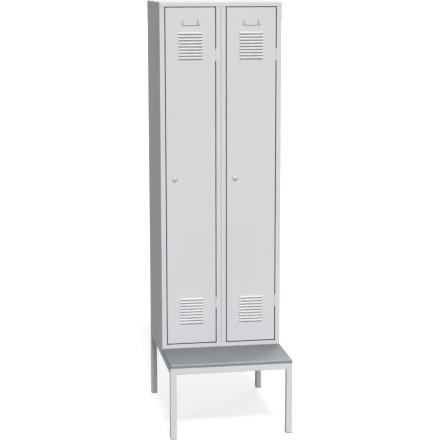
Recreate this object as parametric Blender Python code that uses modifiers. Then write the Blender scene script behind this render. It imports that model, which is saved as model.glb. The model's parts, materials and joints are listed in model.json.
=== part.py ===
"""A two-bay steel clothes locker standing on a square-tube frame that carries a bench seat.

Metres, +Z up. X runs across the locker, the doors face -Y, and the origin is on the floor
under the middle of the whole object.
"""

import bmesh
import bpy
from math import asin, atan2, cos, pi, radians, sin, sqrt, tan
from mathutils import Matrix, Vector
from mathutils.geometry import delaunay_2d_cdt

# Clearances
GAP = 0.0003  # between pieces that are welded, screwed or laid together
CORNER_CLEARANCE = 0.001  # past the inner round of a folded corner
OVERRUN = 0.002  # how far a cut runs past the piece that it cuts

# Locker
WIDTH = 0.600
CABINET_DEPTH = 0.500
CABINET_HEIGHT = 1.733
SHEET = 0.0008
FOLD = 0.002  # outer radius of a folded edge
PARTITION_FOLD = 0.004  # the softer folds on each side of the seam between the bays

# Door frame of each bay
STILE = 0.024
STOP_DEPTH = 0.019  # from the front to the strip that the door closes on
STOP_WIDTH = 0.012
BACK_FLANGE = 0.015
SILL_HEIGHT = 0.037
SILL_FOOT = 0.014
CATCH_HEIGHT = 0.014  # folds over and under the doors, which the locking rods catch on
CATCH_CLEARANCE = 0.0006
LID_LIP = 0.021
LID_LIP_CLEARANCE = 0.0005
LID_BACK_LIP = 0.018
LID_SEAT = 0.0008  # open line between the lid and the walls

# Doors
DOOR_GAP = 0.004
DOOR_DEPTH = 0.017
DOOR_RETURN = 0.010
DOOR_RIM = 0.004  # flat front starts this far inside the door's edge

# How a lip pressed out of the sheet rises at its ends, as shares of its taper and of its rise
LIP_KNEE_SHARE = 0.4
LIP_KNEE_RISE_SHARE = 0.8

# Louvres, pressed out of each door in an upper and a lower group
LOUVRES = 9
LOUVRE_LENGTH = 0.122
LOUVRE_PITCH = 0.015
LOUVRE_HEIGHT = 0.009
LOUVRE_RISE = 0.0055
LOUVRE_SLIT = 0.001
LOUVRE_TAPER = 0.007
UPPER_LOUVRES_DROP = 0.117  # door's top edge to the first louvre
LOWER_LOUVRES_RISE = 0.1032  # door's bottom edge to the last louvre's lip

# Card holder, three lips pressed out of each door
CARD_WIDTH = 0.095
CARD_HEIGHT = 0.0345
CARD_DROP = 0.055
CARD_LIP = 0.0055
CARD_SIDE_LIP = 0.009
CARD_CORNER = 0.014
CARD_RISE = 0.0025
CARD_TAPER = 0.004

# Hinges
HINGE_PROUD = 0.0015  # axis in front of the door
HINGE_HEIGHT = 0.056
HINGE_LEAF = 0.0012
HINGE_EYE_RADIUS = 0.003
HINGE_EYE_OPENING = 20  # degrees that the rolled eye stays open
HINGE_PIN_RADIUS = 0.0015
HINGE_PIN_HEAD_RADIUS = 0.0026
HINGE_PIN_HEAD = 0.0008
HINGE_LEAF_DEPTH = 0.016
HINGE_KNUCKLE_GAP = 0.0006
UPPER_HINGE_DROP = 0.228
LOWER_HINGE_RISE = 0.204

# Lock
LOCK_INSET = 0.042  # from the door's edge
ROSETTE_RADIUS = 0.0145
ROSETTE_FACE_RADIUS = 0.0072
ROSETTE_RISE = 0.0080
ROSETTE_RIM = 0.0008
BARREL_RADIUS = 0.009
BARREL_LENGTH = 0.0195
PLUG_RADIUS = 0.006
PLUG_RECESS = 0.0004
PLUG_STUB = 0.0056
KEYWAY_WIDTH = 0.0022
KEYWAY_HEIGHT = 0.0075
KEYWAY_DEPTH = 0.008
LOCK_NUT_ACROSS_FLATS = 0.024
LOCK_NUT_THICKNESS = 0.0035

# Cam and locking rods
CAM_PLANE = 0.0204  # from the front to the cam's face
CAM_THICKNESS = 0.002
CAM_RADIUS = 0.013
CAM_REACH = 0.046
CAM_WIDTH = 0.014
DRIVE_RADIUS = 0.008
DRIVE_PIN_RADIUS = 0.002
DRIVE_PIN_PROUD = 0.0006
ROD_WIDTH = 0.012
ROD_THICKNESS = 0.002
ROD_CLEARANCE = 0.0004
ROD_SLOT_CLEARANCE = 0.0005
ROD_END_MARGIN = 0.006
LUG_THICKNESS = 0.0015  # lugs on the stiffener that the rods slide through
LUG_WIDTH = 0.018
LUG_TIP = 0.003
LUG_END_OFFSET = 0.060
LUG_LOCK_OFFSET = 0.090

# Stiffening channel inside each door
STIFFENER_DEPTH = 0.0137
STIFFENER_FACE = 0.034
STIFFENER_FLANGE = 0.008
STIFFENER_END = 0.030

# Shelf, coat rail and coat hook of each bay
SHELF_DROP = 0.300
SHELF_SETBACK = 0.032
SHELF_FRONT_FLANGE = 0.020
SHELF_BACK_FLANGE = 0.015
RAIL_RADIUS = 0.009
RAIL_WALL = 0.0012
RAIL_DROP = 0.055
RAIL_FLANGE_RADIUS = 0.018
RAIL_FLANGE = 0.002
HOOK_SLEEVE_WIDTH = 0.016
HOOK_SLEEVE_WALL = 0.003
HOOK_CLEARANCE = 0.0005
HOOK_WIRE_RADIUS = 0.003
HOOK_DROP = 0.032
HOOK_BEND_RADIUS = 0.012
HOOK_TIP = 0.012

# Bench frame and seat
FRAME_HEIGHT = 0.355
BENCH_PROJECTION = 0.308
TUBE = 0.030
TUBE_WALL = 0.0015
TUBE_CORNER = 0.0025
SEAT_THICKNESS = 0.018
SEAT_EDGE = 0.0045
SEAT_UNDER_EDGE = 0.001
FOOT_THICKNESS = 0.005
FOOT_EDGE = 0.0012
FOOT_PLUG = 0.015

# Seat screws
SCREW_RADIUS = 0.00225
SCREW_HEAD_RADIUS = 0.0045
SCREW_HEAD = 0.0025
SCREW_BITE = 0.011
SCREW_INSET = 0.110

# Fineness of round shapes
ROUND_PROFILE_SHARE = 0.5  # makes a bevel round
FOLD_STEPS = 3
SEAT_EDGE_STEPS = 4
SEAT_UNDER_EDGE_STEPS = 2
DOME_STEPS = 5
HOOK_BEND_STEPS = 6
SMALL_ROUND_STEPS = 12
ROUND_STEPS = 16
LARGE_ROUND_STEPS = 32

# Places that follow from the sizes above
LEFT = -WIDTH / 2
BAY = WIDTH / 2
DEPTH = CABINET_DEPTH + BENCH_PROJECTION
BENCH_FRONT = -DEPTH / 2
BACK = DEPTH / 2
FRONT = BENCH_FRONT + BENCH_PROJECTION
TOP = FRAME_HEIGHT + CABINET_HEIGHT
BASE = FRAME_HEIGHT + GAP
WALL_TOP = TOP - SHEET - LID_SEAT
BACK_PANEL_FACE = BACK - SHEET - GAP
WALL_BACK = BACK_PANEL_FACE - SHEET - GAP
FLOOR_BACK = WALL_BACK - SHEET - CORNER_CLEARANCE
OPENING_BOTTOM = FRAME_HEIGHT + SILL_HEIGHT
OPENING_TOP = TOP - LID_LIP
STOP_FACE = FRONT + STOP_DEPTH
DOOR_BOTTOM = OPENING_BOTTOM + DOOR_GAP
DOOR_TOP = OPENING_TOP - DOOR_GAP
LOCK_HEIGHT = (DOOR_BOTTOM + DOOR_TOP) / 2
CAM_FACE = FRONT + CAM_PLANE
ROD_FACE = CAM_FACE + CAM_THICKNESS + ROD_CLEARANCE
CATCH_FACE = ROD_FACE - CATCH_CLEARANCE
FLOOR_FRONT = ROD_FACE + ROD_THICKNESS + CATCH_CLEARANCE
SHELF_TOP = TOP - SHELF_DROP
RAIL_HEIGHT = SHELF_TOP - RAIL_DROP
RAIL_DEPTH = (FRONT + BACK) / 2
SEAT_BACK = FRONT - GAP

# Colour, roughness and metallic value of each finish
FINISHES = {
    "light_paint": ((0.68, 0.69, 0.71), 0.42, 0.0),
    "seat_laminate": ((0.30, 0.31, 0.33), 0.55, 0.0),
    "zinc": ((0.60, 0.61, 0.62), 0.35, 1.0),
    "grey_plastic": ((0.24, 0.25, 0.26), 0.60, 0.0),
}


def clear_scene():
    for obj in list(bpy.data.objects):
        bpy.data.objects.remove(obj, do_unlink=True)


def new_collection(name):
    collection = bpy.data.collections.new(name)
    bpy.context.scene.collection.children.link(collection)
    return collection


clear_scene()
PIECES = new_collection("locker_with_bench")
CUTTERS = new_collection("cutters")


def new_axis(name, place):
    """An empty on a joint's axis, which carries the pieces that move together."""
    axis = bpy.data.objects.new(name, None)
    axis.location = place
    PIECES.objects.link(axis)
    return axis


def finished(obj, finish, axis=None):
    """Gives a piece its own material, and puts it on the empty that moves it."""
    colour, roughness, metallic = FINISHES[finish]
    material = bpy.data.materials.new(obj.name + "_" + finish)
    material.use_nodes = True
    shader = material.node_tree.nodes["Principled BSDF"]
    shader.inputs["Base Color"].default_value = (*colour, 1.0)
    shader.inputs["Roughness"].default_value = roughness
    shader.inputs["Metallic"].default_value = metallic
    obj.data.materials.clear()
    obj.data.materials.append(material)
    if axis:
        obj.parent = axis
        obj.matrix_parent_inverse = Matrix.Translation(-axis.location)
    return obj


def from_bmesh(name, bm, collection=None):
    mesh = bpy.data.meshes.new(name)
    bm.to_mesh(mesh)
    bm.free()
    obj = bpy.data.objects.new(name, mesh)
    (collection or PIECES).objects.link(obj)
    return obj


def evaluated_mesh(obj):
    """A copy of what an object's modifiers make, with its caps welded."""
    bpy.context.view_layer.update()
    graph = bpy.context.evaluated_depsgraph_get()
    mesh = bpy.data.meshes.new_from_object(obj.evaluated_get(graph))
    bm = bmesh.new()
    bm.from_mesh(mesh)
    bmesh.ops.remove_doubles(bm, verts=bm.verts, dist=GAP / 100)
    bm.to_mesh(mesh)
    bm.free()
    return mesh


def as_mesh(obj, collection=None):
    """The same object as a plain mesh, in place of its curve or its modifiers."""
    name = obj.name
    mesh = evaluated_mesh(obj)
    matrix = obj.matrix_world.copy()
    bpy.data.objects.remove(obj, do_unlink=True)
    mesh.name = name
    plain = bpy.data.objects.new(name, mesh)
    plain.matrix_world = matrix
    (collection or PIECES).objects.link(plain)
    return plain


def as_cutter(obj):
    obj.hide_render = True
    obj.display_type = "WIRE"
    if obj.name not in CUTTERS.objects:
        for collection in list(obj.users_collection):
            collection.objects.unlink(obj)
        CUTTERS.objects.link(obj)
    return obj


def combined(obj, tool, operation):
    modifier = obj.modifiers.new(operation.lower(), "BOOLEAN")
    modifier.operation = operation
    modifier.solver = "EXACT"
    modifier.object = as_cutter(tool)
    return obj


def add_box(bm, low, high):
    size = [b - a for a, b in zip(low, high)]
    middle = [(a + b) / 2 for a, b in zip(low, high)]
    matrix = Matrix.Translation(middle) @ Matrix.Diagonal((*size, 1.0))
    bmesh.ops.create_cube(bm, size=1.0, matrix=matrix)


def box(name, low, high, edge=0.0, steps=2):
    bm = bmesh.new()
    add_box(bm, low, high)
    obj = from_bmesh(name, bm)
    if edge:
        bevel = obj.modifiers.new("rounded_edges", "BEVEL")
        bevel.width = edge
        bevel.segments = steps
    return obj


def cut_boxes(obj, name, boxes):
    bm = bmesh.new()
    for low, high in boxes:
        add_box(bm, low, high)
    return combined(obj, from_bmesh(name, bm, CUTTERS), "DIFFERENCE")


AXIS_TURN = {
    "X": Matrix.Rotation(radians(90), 4, "Y"),
    "Y": Matrix.Rotation(radians(-90), 4, "X"),
    "Z": Matrix.Identity(4),
}


def cylinder_bmesh(places, radius, length, axis, steps=ROUND_STEPS):
    """Cylinders that start at each place and run along +axis."""
    bm = bmesh.new()
    for place in places:
        bmesh.ops.create_cone(
            bm,
            cap_ends=True,
            segments=steps,
            radius1=radius,
            radius2=radius,
            depth=length,
            matrix=Matrix.Translation(place) @ AXIS_TURN[axis] @ Matrix.Translation((0, 0, length / 2)),
        )
    return bm


def cylinders(name, places, radius, length, axis, steps=ROUND_STEPS):
    return from_bmesh(name, cylinder_bmesh(places, radius, length, axis, steps))


def drill(obj, name, places, radius, length, axis, steps=ROUND_STEPS):
    tool = from_bmesh(name, cylinder_bmesh(places, radius, length, axis, steps), CUTTERS)
    return combined(obj, tool, "DIFFERENCE")


def rounded(points, radius, closed=False, steps=FOLD_STEPS, soft_corner=None, soft_radius=0.0):
    """A path whose corners are arcs, one of them softer. Its points are (across, up) pairs."""
    path = []
    for i, point in enumerate(points):
        corner = Vector(point)
        if not closed and i in (0, len(points) - 1):
            path.append(corner)
            continue
        before = (Vector(points[i - 1]) - corner).normalized()
        after = (Vector(points[(i + 1) % len(points)]) - corner).normalized()
        half = before.angle(after) / 2
        bend = soft_radius if i == soft_corner else radius
        centre = corner + (before + after).normalized() * (bend / sin(half))
        start = corner + before * (bend / tan(half)) - centre
        end = corner + after * (bend / tan(half)) - centre
        first = atan2(start.y, start.x)
        turn = atan2(start.cross(end), start.dot(end))
        for step in range(steps + 1):
            angle = first + turn * step / steps
            path.append(centre + Vector((cos(angle), sin(angle))) * bend)
    return path


# A path's own axes: which world axes (across, up, along) it uses, and which way it turns
PATH_AXES = {"X": ((1, 2, 0), 1), "Y": ((0, 2, 1), -1), "Z": ((0, 1, 2), 1)}


def sheet(name, path, axis, span, thickness=SHEET, side="left", closed=False):
    """A folded sheet: a path drawn along an axis, thickened to the left or right of its run."""
    order, hand = PATH_AXES[axis]
    bm = bmesh.new()
    rows = []
    for along in span:
        row = []
        for across, up in path:
            place = [0.0, 0.0, 0.0]
            for world, value in zip(order, (across, up, along)):
                place[world] = value
            row.append(bm.verts.new(place))
        rows.append(row)
    first, last = rows
    count = len(path)
    for i in range(count if closed else count - 1):
        j = (i + 1) % count
        bm.faces.new((first[i], first[j], last[j], last[i]))
    obj = from_bmesh(name, bm)
    solidify = obj.modifiers.new("thickness", "SOLIDIFY")
    solidify.thickness = thickness
    solidify.offset = -hand if side == "left" else hand
    solidify.use_even_offset = True
    return obj


def turned(name, profile, place, axis="Z", closed=False, steps=ROUND_STEPS):
    """A turned piece: (radius, height) points from top to bottom, with height along the axis."""
    bm = bmesh.new()
    verts = [bm.verts.new((radius, 0.0, height)) for radius, height in profile]
    for i in range(len(verts) if closed else len(verts) - 1):
        bm.edges.new((verts[i], verts[(i + 1) % len(verts)]))
    obj = from_bmesh(name, bm)
    screw = obj.modifiers.new("turn", "SCREW")
    screw.steps = steps
    screw.render_steps = steps
    screw.use_merge_vertices = True
    screw.merge_threshold = GAP / 100
    obj.matrix_world = Matrix.Translation(place) @ AXIS_TURN[axis]
    return obj


def plate(name, outline, thickness, place):
    """A flat plate that faces the front: (across, up) points about a place on its front face."""
    curve = bpy.data.curves.new(name, "CURVE")
    curve.dimensions = "2D"
    curve.fill_mode = "BOTH"
    curve.extrude = thickness / 2
    spline = curve.splines.new("POLY")
    spline.points.add(len(outline) - 1)
    for point, (across, up) in zip(spline.points, outline):
        point.co = (across, up, 0.0, 1.0)
    spline.use_cyclic_u = True
    obj = bpy.data.objects.new(name, curve)
    PIECES.objects.link(obj)
    middle = Vector(place) + Vector((0.0, thickness / 2, 0.0))
    obj.matrix_world = Matrix.Translation(middle) @ Matrix.Rotation(radians(90), 4, "X")
    return as_mesh(obj)


def hexagon_radius(across_flats):
    return across_flats / 2 / cos(pi / 6)


def square_tube(name, axis, centre, span):
    """A square tube with open ends: centre is its (across, up) place in the plane across its axis."""
    across, up = centre
    half = TUBE / 2
    corners = [(across + a * half, up + b * half) for a, b in ((-1, -1), (1, -1), (1, 1), (-1, 1))]
    path = rounded(corners, TUBE_CORNER, closed=True)
    return sheet(name, path, axis, span, TUBE_WALL, "left", closed=True)


# Bench frame


def seat_screw_places():
    """Where the seat's screws come up through the rails."""
    across = WIDTH / 2 - SCREW_INSET
    front = BENCH_FRONT + TUBE / 2
    back = FRONT - TUBE / 4
    bottom = FRAME_HEIGHT - TUBE
    return {
        "front": [(-across, front, bottom), (across, front, bottom)],
        "cross": [(-across, back, bottom), (across, back, bottom)],
    }


def make_legs():
    rows = {"front": BENCH_FRONT + TUBE / 2, "back": BACK - TUBE / 2}
    for side, across in (("left", LEFT + TUBE / 2), ("right", -LEFT - TUBE / 2)):
        for row, depth in rows.items():
            leg = square_tube(
                f"bench_leg_{row}_{side}", "Z", (across, depth), (FOOT_THICKNESS + GAP, FRAME_HEIGHT)
            )
            finished(leg, "light_paint")
            make_foot(f"foot_{row}_{side}", across, depth)


def make_foot(name, across, depth):
    """A plastic cap under a leg, with a plug that fills the tube."""
    half = TUBE / 2
    foot = box(
        name, (across - half, depth - half, 0.0), (across + half, depth + half, FOOT_THICKNESS), FOOT_EDGE
    )
    inner = half - TUBE_WALL - GAP
    plug = box(
        name + "_plug",
        (across - inner, depth - inner, FOOT_THICKNESS - FOOT_EDGE),
        (across + inner, depth + inner, FOOT_THICKNESS + FOOT_PLUG),
        TUBE_CORNER,
    )
    finished(combined(foot, plug, "UNION"), "grey_plastic")


def make_rails():
    level = FRAME_HEIGHT - TUBE / 2
    inside = WIDTH / 2 - TUBE - GAP
    hole = TUBE + 2 * OVERRUN
    rows = {"front": BENCH_FRONT + TUBE / 2, "cross": FRONT, "back": BACK - TUBE / 2}
    for row, depth in rows.items():
        rail = square_tube(f"bench_rail_{row}", "X", (depth, level), (-inside, inside))
        starts = [(x, y, z - OVERRUN) for x, y, z in seat_screw_places().get(row, ())]
        if starts:
            drill(rail, f"{row}_rail_screw_holes", starts, SCREW_RADIUS + GAP, hole, "Z")
        finished(rail, "light_paint")
    side_span = (BENCH_FRONT + TUBE + GAP, BACK - TUBE - GAP)
    for side, sign in (("left", -1), ("right", 1)):
        across = sign * (WIDTH / 2 - TUBE / 2)
        finished(square_tube(f"bench_rail_{side}", "Y", (across, level), side_span), "light_paint")


def round_edges(bm, edges, radius, steps):
    bmesh.ops.bevel(
        bm, geom=edges, offset=radius, segments=steps, profile=ROUND_PROFILE_SHARE, affect="EDGES"
    )


def seat_underside(bm):
    return min(bm.faces, key=lambda face: face.calc_center_median().z).edges[:]


def make_seat():
    """The board. Its upper edges and its corners are rounded over, and its lower edges only eased."""
    bm = bmesh.new()
    add_box(bm, (LEFT, BENCH_FRONT, BASE), (-LEFT, SEAT_BACK, BASE + SEAT_THICKNESS - GAP))
    under = seat_underside(bm)
    round_edges(bm, [edge for edge in bm.edges if edge not in under], SEAT_EDGE, SEAT_EDGE_STEPS)
    round_edges(bm, seat_underside(bm), SEAT_UNDER_EDGE, SEAT_UNDER_EDGE_STEPS)
    seat = from_bmesh("seat_board", bm)
    places = [place for row in seat_screw_places().values() for place in row]
    starts = [(x, y, FRAME_HEIGHT - OVERRUN) for x, y, _ in places]
    depth = OVERRUN + GAP + SCREW_BITE + GAP
    drill(seat, "seat_screw_holes", starts, SCREW_RADIUS + GAP, depth, "Z")
    finished(seat, "seat_laminate")
    length = GAP + TUBE + GAP + SCREW_BITE
    profile = (
        (0.0, length),
        (SCREW_RADIUS / 3, length),
        (SCREW_RADIUS, length - 2 * SCREW_RADIUS),
        (SCREW_RADIUS, 0.0),
        (SCREW_HEAD_RADIUS, 0.0),
        (SCREW_HEAD_RADIUS, -SCREW_HEAD / 2),
        (SCREW_HEAD_RADIUS - SCREW_HEAD / 2, -SCREW_HEAD),
        (0.0, -SCREW_HEAD),
    )
    for row, pair in seat_screw_places().items():
        for side, (x, y, z) in zip(("left", "right"), pair):
            screw = turned(f"seat_screw_{row}_{side}", profile, (x, y, z - GAP), steps=SMALL_ROUND_STEPS)
            finished(screw, "zinc")


# Locker body


def upright_path(wall, inward, front_fold=FOLD):
    """A wall with its back flange, its front stile and the stop strip behind the door."""
    edge = -inward * (WIDTH / 2) if abs(wall) > BAY / 2 else 0.0
    points = (
        (wall + inward * BACK_FLANGE, WALL_BACK),
        (wall, WALL_BACK),
        (wall, FRONT),
        (edge + inward * STILE, FRONT),
        (edge + inward * STILE, STOP_FACE),
        (edge + inward * (STILE + STOP_WIDTH), STOP_FACE),
    )
    front_corner = points.index((wall, FRONT))
    return rounded(points, FOLD, soft_corner=front_corner, soft_radius=front_fold)


def stop_notch(edge, inward, low, high):
    """Cuts back the stop strip where the sill or the lid's fold passes it."""
    ends = sorted((edge + inward * (STILE - SHEET - GAP), edge + inward * (STILE + STOP_WIDTH + OVERRUN)))
    return (
        (ends[0], STOP_FACE - FOLD - SHEET, low),
        (ends[1], STOP_FACE + SHEET + OVERRUN, high),
    )


def make_side_panels():
    for side, inward in (("left", 1), ("right", -1)):
        wall = -inward * WIDTH / 2
        path = upright_path(wall, inward)
        thick_side = "left" if inward > 0 else "right"
        panel = sheet(f"{side}_side_panel", path, "Z", (BASE, WALL_TOP), side=thick_side)
        notches = [
            stop_notch(wall, inward, BASE - OVERRUN, OPENING_BOTTOM + GAP),
            stop_notch(wall, inward, OPENING_TOP - GAP, TOP + OVERRUN),
        ]
        cut_boxes(panel, f"{side}_side_notches", notches)
        finished(panel, "light_paint")


def make_partitions():
    """Two walls back to back, each with the stile of its own bay. They stand on the floor and the sill."""
    for side, inward in (("left", -1), ("right", 1)):
        path = upright_path(inward * GAP / 2, inward, PARTITION_FOLD)
        thick_side = "left" if inward > 0 else "right"
        span = (OPENING_BOTTOM + GAP, WALL_TOP)
        panel = sheet(f"{side}_partition", path, "Z", span, side=thick_side)
        notch = stop_notch(0.0, inward, OPENING_TOP - GAP, TOP + OVERRUN)
        cut_boxes(panel, f"{side}_partition_notch", [notch])
        finished(panel, "light_paint")


def make_sill():
    """The locker's front edge under the doors. Its fold behind the doors holds the lower rods."""
    inside = WIDTH / 2 - STILE - GAP
    points = (
        (FRONT + SILL_FOOT, BASE),
        (FRONT, BASE),
        (FRONT, OPENING_BOTTOM),
        (CATCH_FACE, OPENING_BOTTOM),
        (CATCH_FACE, OPENING_BOTTOM - CATCH_HEIGHT),
    )
    sill = sheet("sill", rounded(points, FOLD), "X", (-inside, inside), side="right")
    finished(sill, "light_paint")


def make_lid():
    """The top, whose front lip folds in over the doors. That fold holds the upper rods."""
    lip = FRONT - LID_LIP_CLEARANCE - SHEET
    points = (
        (BACK, TOP - LID_BACK_LIP),
        (BACK, TOP),
        (lip, TOP),
        (lip, OPENING_TOP),
        (CATCH_FACE, OPENING_TOP),
        (CATCH_FACE, OPENING_TOP + CATCH_HEIGHT),
    )
    lid = sheet("top_panel", rounded(points, FOLD), "X", (LEFT, -LEFT))
    inside = WIDTH / 2 - STILE - GAP
    middle = STILE + GAP
    spans = ((LEFT - OVERRUN, -inside), (-middle, middle), (inside, -LEFT + OVERRUN))
    low, high = OPENING_TOP - OVERRUN, OPENING_TOP + CATCH_HEIGHT + OVERRUN
    notches = [
        ((start, FRONT - GAP, low), (end, CATCH_FACE + OVERRUN, high)) for start, end in spans
    ]
    cut_boxes(lid, "lid_notches", notches)
    finished(lid, "light_paint")


def make_back_and_floor():
    back = box(
        "back_panel",
        (LEFT + GAP, BACK_PANEL_FACE - SHEET, BASE),
        (-LEFT - GAP, BACK_PANEL_FACE, WALL_TOP),
    )
    finished(back, "light_paint")
    inside = WIDTH / 2 - SHEET - GAP
    points = (
        (FLOOR_FRONT, BASE),
        (FLOOR_FRONT, OPENING_BOTTOM),
        (FLOOR_BACK, OPENING_BOTTOM),
        (FLOOR_BACK, BASE),
    )
    floor = sheet("floor_panel", rounded(points, FOLD), "X", (-inside, inside), side="right")
    finished(floor, "light_paint")


def bay_walls(bay):
    """The clear width of a bay, from wall to wall."""
    side_face = WIDTH / 2 - SHEET
    middle_face = GAP / 2 + SHEET
    return (-side_face, -middle_face) if bay == "left" else (middle_face, side_face)


def make_shelf(bay):
    low, high = bay_walls(bay)
    front = FRONT + SHELF_SETBACK
    path = rounded(
        (
            (front, SHELF_TOP - SHELF_FRONT_FLANGE),
            (front, SHELF_TOP),
            (FLOOR_BACK, SHELF_TOP),
            (FLOOR_BACK, SHELF_TOP - SHELF_BACK_FLANGE),
        ),
        FOLD,
    )
    shelf = sheet(f"{bay}_shelf", path, "X", (low + GAP, high - GAP), side="right")
    finished(shelf, "light_paint")


def make_coat_rail(bay):
    """A tube between two round flanges, which are fixed to the bay's walls."""
    low, high = bay_walls(bay)
    length = high - low - 2 * GAP
    inner = RAIL_RADIUS - RAIL_WALL
    profile = (
        (RAIL_FLANGE_RADIUS, length),
        (RAIL_FLANGE_RADIUS, length - RAIL_FLANGE),
        (RAIL_RADIUS, length - RAIL_FLANGE),
        (RAIL_RADIUS, RAIL_FLANGE),
        (RAIL_FLANGE_RADIUS, RAIL_FLANGE),
        (RAIL_FLANGE_RADIUS, 0.0),
        (inner, 0.0),
        (inner, length),
    )
    place = (low + GAP, RAIL_DEPTH, RAIL_HEIGHT)
    finished(turned(f"{bay}_coat_rail", profile, place, "X", closed=True), "zinc")


def make_coat_hook(bay):
    """A hook that hangs on the coat rail by its sleeve and slides along it."""
    low, high = bay_walls(bay)
    place = Vector(((low + high) / 2, RAIL_DEPTH, RAIL_HEIGHT))
    axis = new_axis(f"{bay}_coat_hook_axis", place)
    bore = RAIL_RADIUS + HOOK_CLEARANCE
    outer = bore + HOOK_SLEEVE_WALL
    half = HOOK_SLEEVE_WIDTH / 2
    profile = ((outer, half), (outer, -half), (bore, -half), (bore, half))
    hook = turned(f"{bay}_coat_hook", profile, place, "X", closed=True, steps=ROUND_STEPS)
    curve = bpy.data.curves.new("hook_wire", "CURVE")
    curve.dimensions = "3D"
    curve.bevel_depth = HOOK_WIRE_RADIUS
    curve.bevel_resolution = 1
    curve.use_fill_caps = True
    start = -(bore + HOOK_SLEEVE_WALL / 2)
    bottom = -outer - HOOK_DROP
    points = [(0.0, start), (0.0, bottom)]
    for step in range(1, HOOK_BEND_STEPS + 1):
        angle = pi * step / HOOK_BEND_STEPS
        points.append((-HOOK_BEND_RADIUS * (1 - cos(angle)), bottom - HOOK_BEND_RADIUS * sin(angle)))
    points.append((-2 * HOOK_BEND_RADIUS, bottom + HOOK_TIP))
    spline = curve.splines.new("POLY")
    spline.points.add(len(points) - 1)
    for point, (depth, height) in zip(spline.points, points):
        point.co = (0.0, depth, height, 1.0)
    wire = bpy.data.objects.new(f"{bay}_hook_wire", curve)
    PIECES.objects.link(wire)
    wire.location = place
    combined(hook, as_mesh(wire), "UNION")
    finished(hook, "grey_plastic", axis)


# Doors


def door_edges(bay):
    """The left and right edges of a bay's door."""
    start = LEFT if bay == "left" else 0.0
    inset = STILE + DOOR_GAP
    return start + inset, start + BAY - inset


def pressed_lip(bm, corner, along, across, length, height, rise, slit, taper):
    """One lip pressed out of the flat sheet: joined along its first side, open on its far side.

    corner is the (x, z) start of the joined side, along runs beside it and across runs to the
    open side. It returns the loop of points that the flat sheet keeps round the lip.
    """
    knee = taper * LIP_KNEE_SHARE
    rise_shares = ((0.0, 0.0), (knee, LIP_KNEE_RISE_SHARE), (taper, 1.0))
    stations = [*rise_shares, *((length - station, share) for station, share in rise_shares[::-1])]
    rows = []
    for share in (0.0, 0.5, 1.0):
        row = []
        for station, fullness in stations:
            x, z = corner + along * station + across * (height * share)
            row.append(bm.verts.new((x, FRONT - rise * fullness * sin(share * pi / 2), z)))
        rows.append(row)
    for lower, upper in zip(rows, rows[1:]):
        for i in range(len(stations) - 1):
            bm.faces.new((lower[i], lower[i + 1], upper[i + 1], upper[i]))
    edge = []
    for station, _ in stations[1:-1]:
        x, z = corner + along * station + across * (height + slit)
        edge.append(bm.verts.new((x, FRONT, z)))
    return rows[0] + [row[-1] for row in rows[1:]] + edge[::-1] + [row[0] for row in rows[:0:-1]]


def louvre_loops(bm, middle):
    """Two groups of louvres, each open along its lower side."""
    start = middle - LOUVRE_LENGTH / 2
    tops = [DOOR_TOP - UPPER_LOUVRES_DROP - i * LOUVRE_PITCH for i in range(LOUVRES)]
    lowest = DOOR_BOTTOM + LOWER_LOUVRES_RISE + LOUVRE_HEIGHT
    tops += [lowest + i * LOUVRE_PITCH for i in range(LOUVRES)]
    along, down = Vector((1.0, 0.0)), Vector((0.0, -1.0))
    sizes = (LOUVRE_LENGTH, LOUVRE_HEIGHT, LOUVRE_RISE, LOUVRE_SLIT, LOUVRE_TAPER)
    return [pressed_lip(bm, Vector((start, top)), along, down, *sizes) for top in tops]


def card_holder_loops(bm, middle):
    """Three lips that hold a name card: one under it and one at each side."""
    half = CARD_WIDTH / 2
    bottom = DOOR_TOP - CARD_DROP - CARD_HEIGHT
    right, up = Vector((1.0, 0.0)), Vector((0.0, 1.0))
    under_length = CARD_WIDTH - 2 * CARD_CORNER
    under = (under_length, CARD_LIP, CARD_RISE, LOUVRE_SLIT, CARD_TAPER)
    side = (CARD_HEIGHT, CARD_SIDE_LIP, CARD_RISE, LOUVRE_SLIT, CARD_TAPER)
    return [
        pressed_lip(bm, Vector((middle - under_length / 2, bottom)), right, up, *under),
        pressed_lip(bm, Vector((middle - half, bottom)), up, right, *side),
        pressed_lip(bm, Vector((middle + half, bottom)), up, -right, *side),
    ]


def inside_loop(point, loop):
    """Whether an (x, z) point lies inside a loop of points on the door's front."""
    within = False
    for a, b in zip(loop, loop[1:] + loop[:1]):
        if (a.co.z > point.y) != (b.co.z > point.y):
            share = (point.y - a.co.z) / (b.co.z - a.co.z)
            if point.x < a.co.x + share * (b.co.x - a.co.x):
                within = not within
    return within


def fill_front(bm, rim, loops):
    """Triangles over the door's flat front, round every loop. It returns one of them."""
    points, edges = [], []
    for loop in [rim, *loops]:
        first = len(points)
        points += loop
        edges += [(first + i, first + (i + 1) % len(loop)) for i in range(len(loop))]
    places = [Vector((vert.co.x, vert.co.z)) for vert in points]
    triangles = delaunay_2d_cdt(places, edges, [], 0, GAP / 1000)[2]
    for triangle in triangles:
        centre = sum((places[i] for i in triangle), Vector((0.0, 0.0))) / len(triangle)
        if inside_loop(centre, rim) and not any(inside_loop(centre, loop) for loop in loops):
            face = bm.faces.new([points[i] for i in triangle])
    return face


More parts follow.
